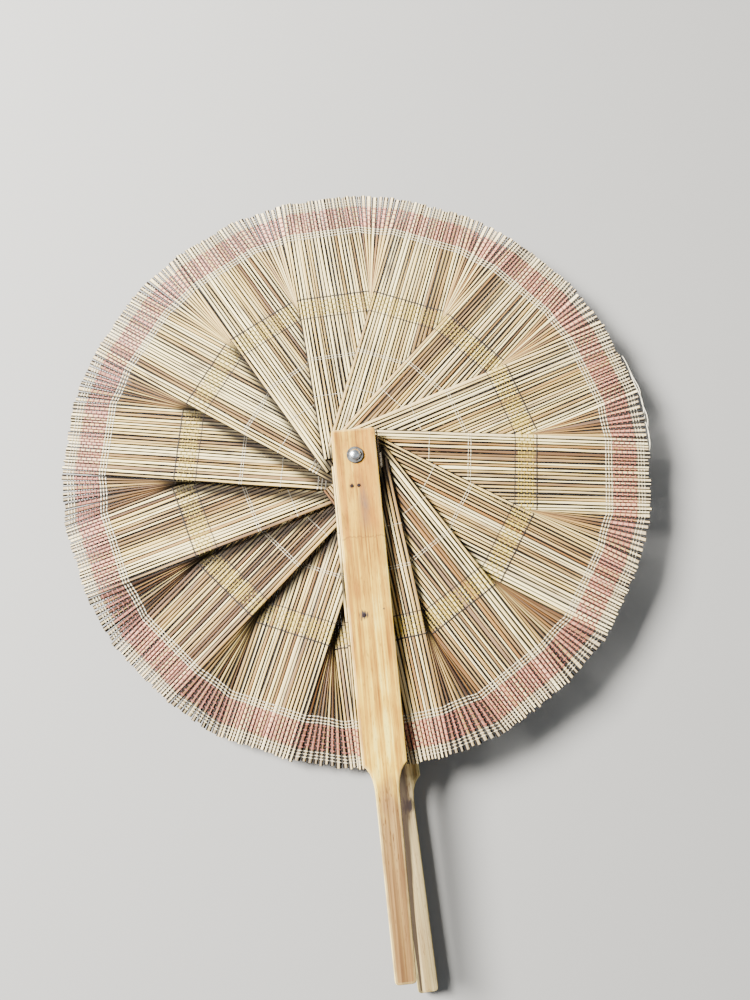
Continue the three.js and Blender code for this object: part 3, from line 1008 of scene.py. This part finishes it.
@dataclass
class Leaf:
    """The pleated leaf: rigid faces, and returns in strips that turn with the faces on both sides.

    Lengths are in millimetres, sides of the leaf in degrees from its right, counter-clockwise, and the
    reeds' widths, gaps and thicknesses in shares. A fold is a return. Each panel has an even step of
    reed numbers, so that over and under run on. Reeds are palest on one side, partly weathering and
    partly painted light, and brownest on another, partly weathering and partly painted shade. The
    painted shade where the next panel covers a reed and the fading of the threads are each most on
    their own side.
    """

    form: LeafForm
    loom: Loom
    face_reeds: int = 22
    last_face_reeds: int = 15
    return_reeds: int = 9
    end_reeds: int = 10
    end_width: float = 20.0
    end_lift: float = 0.36
    strip_reeds: int = 3
    number_step: int = 40
    tone: float = 0.78
    tone_spread: float = 0.2
    least_tone: float = 0.1
    # painted light and shade: reeds are paler on the lamp's side and browner on the shaded side, partly
    # weathering and partly painted
    lit_pale_side: float = 135.0
    lit_pale_gain: float = 0.14
    pale_cooling: float = 0.45
    shaded_brown_side: float = 210.0
    shaded_brown_loss: float = 0.2
    brown_focus: int = 8
    warmths: Span = (-0.75, 0.55)
    right_warmth: float = 0.3
    # painted shade: the shade painted where the next panel covers a reed is strongest on this side of the
    # leaf
    shade_side: float = 215.0
    shade_retreat: float = 27.0
    shade_advance: float = 11.0
    faded_side: float = 150.0
    widths: Span = (0.72, 1.12)
    gaps: tuple[float, ...] = (0.0, 0.01, 0.02, 0.03, 0.06, 0.12)
    ridge_reed: float = 1.12
    reed_thickness: float = 0.4
    thicknesses: Span = (0.8, 1.0)
    overhang: float = 0.7
    fold_shade: float = 0.2
    fold_thickness: float = 0.15
    fold_fill: float = 0.84
    fold_share: float = 0.03
    fold_gap: float = 0.26
    fold_covered_from: float = 70.0
    fold_lean: float = -0.4
    return_weave_depth: float = 82.0
    laced_faces: tuple[int, ...] = (4, 5, 6)
    seed: int = 4100

    def body(self, number: int) -> str:
        """The body that carries a face."""
        return "back_guard" if number == 1 else f"pleat_face_{number:02d}"

    def towards(self, panel: int, side: float) -> float:
        """How far a panel points to a side of the leaf, from -1 to 1."""
        return math.cos(self.form.turn(panel) - math.radians(side))

    def kind(self, panel: int, covered_from: float, chance: Random) -> Vector:
        """Tone and warmth of one reed, which differ round the leaf partly as painted light and shade, and
        where its painted shade lies.

        Args:
            panel: Number of the panel.
            covered_from: Distance from the rim about which its painted shade lies, near where the next panel
                covers it.
            chance: Draws the reed's own share.

        Returns:
            The three values.
        """
        right = 0.5 + 0.5 * self.towards(panel, 0.0)
        pale = 0.5 + 0.5 * self.towards(panel, self.lit_pale_side)
        brown = max(0.0, self.towards(panel, self.shaded_brown_side)) ** self.brown_focus
        # painted light and shade: tone raised on the lit side and lowered on the shaded side
        tone = chance.gauss(self.tone + self.lit_pale_gain * pale - self.shaded_brown_loss * brown, self.tone_spread)
        warmth = chance.uniform(*self.warmths) + self.right_warmth * right * chance.random()
        warmth *= 1 - self.pale_cooling * pale
        return Vector((min(1.0, max(self.least_tone, tone)), warmth, covered_from))

    def covered_from(self, across: float) -> float:
        """Distance from the rim at which the next face covers a reed of a face.

        Args:
            across: The reed's place across its face.

        Returns:
            The distance.
        """
        form = self.form
        turn = math.radians(form.sweep / form.pleats)
        inside = form.face_width / 2 - form.shift
        reach = (inside - (across - form.shift) * math.cos(turn)) / math.sin(turn)
        return form.radius - reach

    def clean(self, panel: int) -> float:
        """How far the painted shade of a panel is moved in under the next one. On the shaded side it reaches
        out past where the next panel covers it.
        """
        # painted shade: shift of the shade's place, out towards the rim on the shaded side
        away = 0.5 - 0.5 * self.towards(panel, self.shade_side)
        return self.shade_retreat * away - self.shade_advance

    def fade(self, panel: int) -> float:
        """How faded the threads of a panel are, from 0 to 1."""
        return 0.5 + 0.4 * self.towards(panel, self.faded_side)

    def spread(self, count: int, width: float, chance: Random) -> list[Span]:
        """Share a width out among reeds of uneven width.

        Args:
            count: Number of reeds.
            width: The whole width.
            chance: Draws the reeds and the gaps.

        Returns:
            Middle and width of each reed, from the lower side up.
        """
        reeds = [chance.uniform(*self.widths) for _ in range(count)]
        reeds[-1] = self.ridge_reed
        gaps = [chance.choice(self.gaps) for _ in range(count)]
        scale = width / (sum(reeds) + sum(gaps))
        places = []
        edge = -width / 2
        for reed, gap in zip(reeds, gaps):
            places.append((edge + (gap / 2 + reed / 2) * scale, reed * scale))
            edge += (reed + gap) * scale
        return places

    def make_reed(
        self, number: int, ends: Sequence[Vector], side: Vector, width: float, kind: Vector, chance: Random
    ) -> Reed:
        """One reed between two points.

        Args:
            number: Its number in the leaf.
            ends: Its inner end and its place at the rim.
            side: Unit vector across it.
            width: Its width.
            kind: Its surface.
            chance: Draws its thickness and overhang.

        Returns:
            The reed, as wide and thick at the inner end as at the rim.
        """
        thickness = self.reed_thickness * chance.uniform(*self.thicknesses) * MM
        overhang = chance.uniform(-self.overhang, self.overhang) * MM
        return Reed(number, *ends, side, width * MM, thickness, thickness, 1.0, overhang, kind)

    def flat_reeds(
        self, panel: int, count: int, width: float, chance: Random, offset: float = 0.0, lift: float = 0.0
    ) -> list[Reed]:
        """Parallel reeds on a panel's own surface.

        Args:
            panel: Number of the panel.
            count: Number of reeds.
            width: Width of the panel.
            chance: Draws what differs between reeds.
            offset: Distance of the panel's middle from that of a broad panel.
            lift: Height over the panel's surface.

        Returns:
            The reeds, from the valley side to the ridge.
        """
        form = self.form
        half_way = (form.inner_radius + form.radius) / 2
        reeds = []
        for place, (middle, reed_width) in enumerate(self.spread(count, width, chance)):
            across = middle + offset
            ends = [form.point(panel, along, across, lift) for along in (form.inner_radius, form.radius)]
            low = form.point(panel, half_way, across - reed_width / 2)
            side = (form.point(panel, half_way, across + reed_width / 2) - low).normalized()
            # painted shade: the reed's shade lies near where the next face covers it, shifted by the leaf's
            # side
            kind = self.kind(panel, self.covered_from(across) + self.clean(panel), chance)
            number = self.number_step * panel + place
            reeds.append(self.make_reed(number, ends, side, reed_width, kind, chance))
        return reeds

    def fold_reeds(self, panel: int, chance: Random) -> list[Reed]:
        """Reeds of a return, from the valley edge of one face to the ridge of the next.

        Args:
            panel: Number of the return panel.
            chance: Draws what differs between reeds.

        Returns:
            The reeds, from the valley to the ridge.
        """
        form = self.form
        half = form.face_width / 2
        edges = []
        for along in (form.inner_radius, form.radius):
            valley = form.point(panel - 1, along, -half, self.fold_gap)
            ridge = form.point(panel + 1, along, half, -self.fold_gap)
            edges.append((valley, ridge))
        rim_width = (edges[1][1] - edges[1][0]).length / MM
        reeds = []
        for place, (across, reed_width) in enumerate(self.spread(self.return_reeds, rim_width, chance)):
            share = across / rim_width + 0.5
            ends = [valley.lerp(ridge, share) for valley, ridge in edges]
            side = UP.cross(ends[1] - ends[0]).normalized()
            kind = self.kind(panel, self.fold_covered_from + self.clean(panel), chance)
            # painted shade: return reeds are darkened, most on the shaded side of the leaf
            shade_loss = self.fold_shade * (1 - self.clean(panel) / self.shade_retreat)
            kind.x = max(self.least_tone, kind.x - shade_loss)
            number = self.number_step * panel + place
            reed = self.make_reed(number, ends, side, reed_width * self.fold_fill, kind, chance)
            reed.inner_thickness = self.fold_thickness * MM
            reed.inner_share = self.fold_share
            reed.lean = self.fold_lean
            reeds.append(reed)
        return reeds

    def build_face(self, number: int) -> Object:
        """Make a face panel and let it ride on its body.

        Args:
            number: Number of the face, from 1.

        Returns:
            The piece.
        """
        panel = 2 * (number - 1)
        seed = self.seed + panel
        last = number == self.form.pleats + 1
        count = self.last_face_reeds if last else self.face_reeds
        width = self.form.face_width * count / self.face_reeds
        offset = (self.form.face_width - width) / 2
        reeds = self.flat_reeds(panel, count, width, Random(seed), offset)
        rows = WEAVE + LACING if number in self.laced_faces else WEAVE
        piece = self.loom.weave(f"face_mat_{number:02d}", reeds, rows, self.fade(panel), seed)
        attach(piece, self.body(number))
        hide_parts(f"pleat_face_{number:02d}")
        return piece

    def build_return(self, number: int) -> list[Object]:
        """Make a return panel in strips, each turning by its own share between two faces.

        Args:
            number: Number of the return, from 1.

        Returns:
            The strips.
        """
        panel = 2 * number - 1
        seed = self.seed + panel
        reeds = self.fold_reeds(panel, Random(seed))
        rows = [row for row in WEAVE if row.inset < self.return_weave_depth]
        strips = []
        for first in range(0, len(reeds), self.strip_reeds):
            part = reeds[first:first + self.strip_reeds]
            name = f"return_mat_{number:02d}_{first // self.strip_reeds + 1}"
            piece = self.loom.weave(name, part, rows, self.fade(panel), seed + first)
            start, end = self.turning_share((first + len(part) / 2) / len(reeds))
            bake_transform(piece, self.body(number), self.body(number + 1), start=start, end=end)
            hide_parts(f"pleat_return_{number:02d}")
            strips.append(piece)
        return strips

    def turning_share(self, share: float) -> tuple[Vector, Vector]:
        """Two far points between which a whole strip turns by one share of the way between two bodies.

        Args:
            share: The share, from 0 to 1.

        Returns:
            The start and the end, in metres.
        """
        far = 1000.0
        step = 0.5 - math.sin(math.asin(1 - 2 * share) / 3)
        return UP * (-step * far), UP * ((1 - step) * far)

    def build_end(self) -> Object:
        """Make the last strip, which is fixed under the front guard.

        Returns:
            The piece.
        """
        panel = self.form.panels - 1
        number = self.form.pleats + 1
        seed = self.seed + panel
        chance = Random(seed)
        reeds = self.flat_reeds(panel, self.end_reeds, self.end_width, chance, lift=self.end_lift)
        piece = self.loom.weave("end_mat", reeds, WEAVE, self.fade(panel), seed)
        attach(piece, "front_guard")
        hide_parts(f"pleat_return_{number:02d}")
        return piece

    def build(self) -> list[Object]:
        """Make all panels.

        Returns:
            The pieces, from the back guard to the front one.
        """
        pieces = []
        for number in range(1, self.form.pleats + 2):
            pieces.append(self.build_face(number))
            if number <= self.form.pleats:
                pieces.extend(self.build_return(number))
        pieces.append(self.build_end())
        return pieces


@dataclass
class Cord:
    """One round cord.

    Attributes:
        path: Points of its middle line, in metres.
        thickness: Its diameter in millimetres.
        fade: How faded it is, from 0 to 1.
        reference: A direction that the path never takes.
    """

    SIDES = 8

    path: Sequence[Vector]
    thickness: float
    fade: float
    reference: Vector

    def lay(self, work: BMesh) -> None:
        """Add the cord to a mesh.

        Args:
            work: The mesh.
        """
        run = work.verts.layers.float_vector["thread_run"]
        rings = len(self.path) - 1
        lengths = running_lengths(self.path)
        blank = rod_blank("cord_blank", self.SIDES, rings - 1)
        for vertex in add_rod(work, blank):
            share, wide, high = vertex.co
            ring = round(share * rings)
            along = self.path[min(ring + 1, rings)] - self.path[max(ring - 1, 0)]
            side = along.cross(self.reference).normalized()
            over = side.cross(along).normalized()
            vertex.co = self.path[ring] + (side * wide + over * high) * (self.thickness * MM / 2)
            vertex[run] = Vector((lengths[ring], math.atan2(high, wide) / FULL_TURN, self.fade))
        bpy.data.meshes.remove(blank)


def cord_piece(name: str, cords: Sequence[Cord], finish: Material, turn: float = 0.0) -> Object:
    """Make one piece of one or more cords.

    Args:
        name: Name of the piece.
        cords: The cords.
        finish: Their material.
        turn: Angle by which they are turned about the pivot, in radians.

    Returns:
        The piece.
    """
    work = bmesh.new()
    work.verts.layers.float_vector.new("thread_run")
    for cord in cords:
        cord.lay(work)
    bmesh.ops.rotate(work, verts=work.verts, cent=(0, 0, 0), matrix=Matrix.Rotation(turn, 3, "Z"))
    bmesh.ops.recalc_face_normals(work, faces=work.faces)
    return make_piece(name, work, [finish])


def winding(radius: float, start: float, end: float, turns: int, steps: int) -> list[Triple]:
    """Points of a cord wound evenly round an axis.

    Args:
        radius: Its radius.
        start: Where it starts along the axis.
        end: Where it ends.
        turns: Number of turns.
        steps: Points in each turn.

    Returns:
        Two places across the axis and the place along it, for each point.
    """
    count = turns * steps
    points = []
    for step in range(count + 1):
        turn = FULL_TURN * step / steps
        along = start + (end - start) * step / count
        points.append((radius * math.cos(turn), radius * math.sin(turn), along))
    return points


@dataclass
class GatherCord:
    """Cotton cord wound on the rivet inside the ring of reed ends, in millimetres."""

    radius: float = 2.9
    thickness: float = 1.2
    turns: int = 7
    base: float = 7.8
    top: float = 25.5
    steps: int = 40
    fade: float = 0.4

    def build(self, finish: Material) -> Object:
        """Make the winding and let it stay on the back guard.

        Args:
            finish: The cord's material.

        Returns:
            The piece.
        """
        points = winding(self.radius, self.base, self.top, self.turns, self.steps)
        path = [Vector(point) * MM for point in points]
        piece = cord_piece("gather_winding", [Cord(path, self.thickness, self.fade, UP)], finish)
        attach(piece, "back_guard")
        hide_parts("gather_cord")
        return piece


@dataclass
class GuardLacing:
    """A tie that holds the end of the leaf to the front guard's edge, and the thread wound round it.

    Lengths are in millimetres, and angles in radians. The places are those beside the guard before it
    is turned to its rest angle, turn.
    """

    turn: float
    edge: float = 13.9
    height: float = 27.2
    knot_start: float = 0.6
    knot_end: float = -7.2
    knot_radius: float = 0.95
    knot_turns: int = 13
    knot_steps: int = 12
    knot_thickness: float = 0.62
    knot_fade: float = 0.5
    tie_start: float = 14.6
    tie_end: float = -7.8
    tie_inset: float = 0.7
    tie_drop: float = 0.2
    tie_sway: float = 0.35
    tie_sway_angle: float = 9.0
    tie_steps: int = 16
    tie_thickness: float = 0.868
    tie_fade: float = 0.8

    def knot_path(self) -> list[Vector]:
        """Middle line of the thread wound round the tie.

        Returns:
            Its points in metres.
        """
        span = (self.knot_start, self.knot_end)
        points = winding(self.knot_radius, *span, self.knot_turns, self.knot_steps)
        middle = Vector((self.edge, 0, self.height))
        return [(middle + Vector((wide, along, high))) * MM for wide, high, along in points]

    def tie_path(self) -> list[Vector]:
        """Middle line of the thread from the guard's head to the winding.

        Returns:
            Its points in metres.
        """
        path = []
        for step in range(self.tie_steps + 1):
            share = step / self.tie_steps
            aside = self.tie_sway * math.sin(share * self.tie_sway_angle) - self.tie_inset
            along = self.tie_start + (self.tie_end - self.tie_start) * share
            height = self.height - self.tie_drop
            path.append(Vector((self.edge + aside * (1 - share), along, height)) * MM)
        return path

    def build(self, finish: Material) -> Object:
        """Make the tie and its winding, and let them ride on the front guard.

        Args:
            finish: The thread's material.

        Returns:
            The piece.
        """
        cords = (
            Cord(self.knot_path(), self.knot_thickness, self.knot_fade, Vector((0, 1, 0))),
            Cord(self.tie_path(), self.tie_thickness, self.tie_fade, UP),
        )
        piece = cord_piece("guard_lacing", cords, finish, self.turn)
        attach(piece, "front_guard")
        return piece


@dataclass
class LooseThread:
    """A loop of binding thread that has slipped off the rim, in millimetres and degrees.

    Its two strands stand off the rim by their slacks and have kept their waves from the weave.
    """

    first_face: int = 11
    first_angle: float = 14.0
    last_angle: float = -6.0
    lift: float = 20.4
    droop: float = 1.5
    start_radius: float = 169.6
    slacks: Span = (1.7, 2.4)
    waves: Span = (2.5, 3.3)
    fullness: float = 0.7
    wave_out: float = 0.5
    wave_up: float = 0.4
    thickness: float = 0.5
    fade: float = 0.9
    steps: int = 48

    def strand(self, slack: float, waves: float) -> list[Vector]:
        """Middle line of one strand.

        Args:
            slack: How far it stands off the rim.
            waves: Number of its waves.

        Returns:
            Its points in metres.
        """
        path = []
        for step in range(self.steps + 1):
            share = step / self.steps
            turn = math.radians(self.first_angle + (self.last_angle - self.first_angle) * share)
            bow = math.sin(math.pi * share) ** self.fullness
            wave = waves * FULL_TURN * share
            out = self.start_radius + bow * (slack + self.wave_out * math.sin(wave))
            height = self.lift - self.droop * bow + self.wave_up * math.cos(wave)
            path.append(Vector((out * math.cos(turn), out * math.sin(turn), height)) * MM)
        return path

    def build(self, finish: Material) -> Object:
        """Make the loop and let it bend between the faces that hold its ends.

        Args:
            finish: The thread's material.

        Returns:
            The piece.
        """
        strands = [self.strand(slack, waves) for slack, waves in zip(self.slacks, self.waves)]
        cords = [Cord(strand, self.thickness, self.fade, UP) for strand in strands]
        piece = cord_piece("loose_thread", cords, finish)
        bodies = [f"pleat_face_{self.first_face + step:02d}" for step in range(2)]
        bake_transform(piece, *bodies, start=strands[0][0], end=strands[0][-1])
        return piece


@dataclass
class Hardware:
    """Guards, rivet, washers and tacks, which keep their solids and get their finish here.

    Lengths are in metres, and the front guard's turn in radians. A blot has a place and a radius, and
    the spot's place is its distance from the last tack.
    """

    front_turn: float
    tacks: tuple[str, ...] = ("tack_upper_left", "tack_upper_right", "tack_lower")
    rust_reaches: Triple = (1.7 * MM, 1.7 * MM, 3.0 * MM)
    spot: Triple = (11.0 * MM, 2.0 * MM, 0.8 * MM)
    neck_mark: Triple = (3.6 * MM, -192.0 * MM, 5.2 * MM)
    handle_edge: float = 7.9 * MM

    def rust_blots(self, side: str) -> list[Triple]:
        """Middles and radii of the rust blots on a guard.

        Args:
            side: Which guard, front or back.

        Returns:
            A blot for each tack, and the spot beside the last.
        """
        blots = []
        for name, reach in zip(self.tacks, self.rust_reaches):
            low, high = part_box(f"{side}_{name}")
            blots.append(((low[0] + high[0]) / 2, (low[1] + high[1]) / 2, reach))
        x, y, _ = blots[-1]
        wide, high, reach = self.spot
        blots.append((x + wide, y + high, reach))
        return blots

    def dress(self) -> list[str]:
        """Give each rigid piece its material.

        Returns:
            The names of the dressed pieces.
        """
        front = Stick(
            name="bamboo_front", turn=self.front_turn, pale=0.74, ring=0.0466, handle=0.182,
            grip=((0.105, 0.052, 0.022, 1), (0.27, 0.155, 0.062, 1)), blots=self.rust_blots("front"),
        )
        back = Stick(
            name="bamboo_back", turn=0.0, pale=0.8, ring=0.061, handle=0.160,
            grip=((0.25, 0.18, 0.085, 1), (0.47, 0.37, 0.20, 1)),
            blots=[*self.rust_blots("back"), self.neck_mark],
            other_turn=self.front_turn % FULL_TURN, other_edge=self.handle_edge,
        )
        steel = Metal("steel_rivet", (0.80, 0.86, 0.91, 1), (0.36, 0.37, 0.38, 1), 0.2, 0.25)
        zinc = Metal("zinc_washer", (0.15, 0.16, 0.16, 1), (0.06, 0.055, 0.05, 1), 0.45, 0.6)
        iron = Metal("iron_tack", (0.035, 0.028, 0.036, 1), (0.03, 0.016, 0.012, 1), 0.65, 0.7)
        plan: dict[str, Finish] = {
            "front_guard": Bamboo(front), "back_guard": Bamboo(back), "pivot_rivet": steel,
        }
        for side in ("front", "back"):
            plan[f"{side}_washer"] = zinc
            for tack in self.tacks:
                plan[f"{side}_{tack}"] = iron
        for name, finish in plan.items():
            self.dress_node(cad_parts[name], finish.material)
        return list(plan)

    def dress_node(self, node: Object, material: Material) -> None:
        """Put a material in all slots of a node.

        Args:
            node: The node's object.
            material: The material.
        """
        if not node.material_slots:
            node.data.materials.append(material)
        for slot in node.material_slots:
            slot.material = material


@dataclass(frozen=True)
class Lamp:
    """A square soft light aimed at the pivot, in metres and watts."""

    name: str
    place: Triple
    size: float
    power: float
    tint: Triple

    def build(self) -> None:
        """Hang the light."""
        data = bpy.data.lights.new(self.name, "AREA")
        data.size = self.size
        data.energy = self.power
        data.color = self.tint
        made = bpy.data.objects.new(self.name, data)
        made.location = self.place
        made.rotation_mode = "QUATERNION"
        made.rotation_quaternion = (-Vector(self.place)).to_track_quat("-Z", "Y")
        bpy.context.scene.collection.objects.link(made)


@dataclass
class Studio:
    """Camera, floor, a soft key light at the upper left, a weak fill and a pale surround.

    Lengths are in millimetres, and angles in degrees.
    """

    camera_place: Triple = (-7.65, -106.72, 438.06)
    camera_fall: float = 78.731
    camera_bearing: float = 10.767
    camera_roll: float = 2.882
    focal_pixels: float = 751.0
    photo_height: float = 1000.0
    sensor: float = 36.0
    near_limit: float = 10.0
    lamps: tuple[Lamp, ...] = (
        Lamp("key_light", (-1.31, 0.72, 1.25), 0.7, 315, (1.0, 0.97, 0.93)),
        Lamp("fill_light", (0.9, -0.5, 1.1), 1.2, 2.5, (0.93, 0.96, 1.0)),
    )
    surround_colour: Colour = (0.9, 0.94, 1.0, 1)
    surround_strength: float = 0.22
    floor_size: float = 4000.0

    def camera(self) -> None:
        """Set the camera at the photograph's viewing angle."""
        fall = math.radians(self.camera_fall)
        bearing = math.radians(self.camera_bearing)
        roll = math.radians(self.camera_roll)
        level = math.cos(fall)
        forward = Vector((math.sin(bearing) * level, math.cos(bearing) * level, -math.sin(fall)))
        right = forward.cross(UP).normalized()
        upward = right.cross(forward)
        rolled_right = right * math.cos(roll) + upward * math.sin(roll)
        rolled_up = upward * math.cos(roll) - right * math.sin(roll)
        axes = Matrix((rolled_right, rolled_up, -forward)).transposed()
        data = bpy.data.cameras.new("camera")
        data.sensor_width = self.sensor
        data.lens = self.focal_pixels / self.photo_height * self.sensor
        data.clip_start = self.near_limit * MM
        lens = bpy.data.objects.new("camera", data)
        lens.matrix_world = Matrix.Translation(Vector(self.camera_place) * MM) @ axes.to_4x4()
        bpy.context.scene.collection.objects.link(lens)
        bpy.context.scene.camera = lens

    def lights(self) -> None:
        """Hang the lamps and light the surround."""
        for lamp in self.lamps:
            lamp.build()
        world = bpy.data.worlds.new("surround")
        world.use_nodes = True
        surround = world.node_tree.nodes["Background"]
        surround.inputs["Color"].default_value = self.surround_colour
        surround.inputs["Strength"].default_value = self.surround_strength
        bpy.context.scene.world = world

    def floor(self) -> None:
        """Lay the floor."""
        work = bmesh.new()
        bmesh.ops.create_grid(work, x_segments=1, y_segments=1, size=self.floor_size / 2 * MM)
        floor = make_piece("floor", work, [PaleFloor().material])


def main() -> None:
    logging.basicConfig(level=logging.INFO, format="%(name)s: %(message)s")
    studio = Studio()
    studio.camera()
    studio.lights()
    studio.floor()
    cream = Yarn("cream_thread", (0.82, 0.72, 0.46, 1), (0.88, 0.84, 0.66, 1)).material
    red = Yarn("red_yarn", (0.45, 0.135, 0.085, 1), (0.38, 0.145, 0.125, 1)).material
    yellow = Yarn("yellow_yarn", (0.60, 0.42, 0.035, 1), (0.62, 0.48, 0.12, 1)).material
    dark = Yarn("dark_thread", (0.025, 0.022, 0.020, 1), (0.075, 0.068, 0.060, 1)).material
    twine = Yarn("grey_twine", (0.26, 0.22, 0.16, 1), (0.36, 0.32, 0.24, 1)).material
    form = LeafForm()
    guard_turn = math.radians(form.guard_sweep)
    pieces = Leaf(form, Loom([SplitCane().material, cream, red, yellow, dark])).build()
    pieces.append(GatherCord().build(cream))
    pieces.append(GuardLacing(-guard_turn).build(twine))
    pieces.append(LooseThread().build(cream))
    for piece in pieces:
        log.info("made %s with %d faces", piece.name, len(piece.data.polygons))
    for name in Hardware(guard_turn).dress():
        log.info("dressed %s", name)


if __name__ == "__main__":
    main()
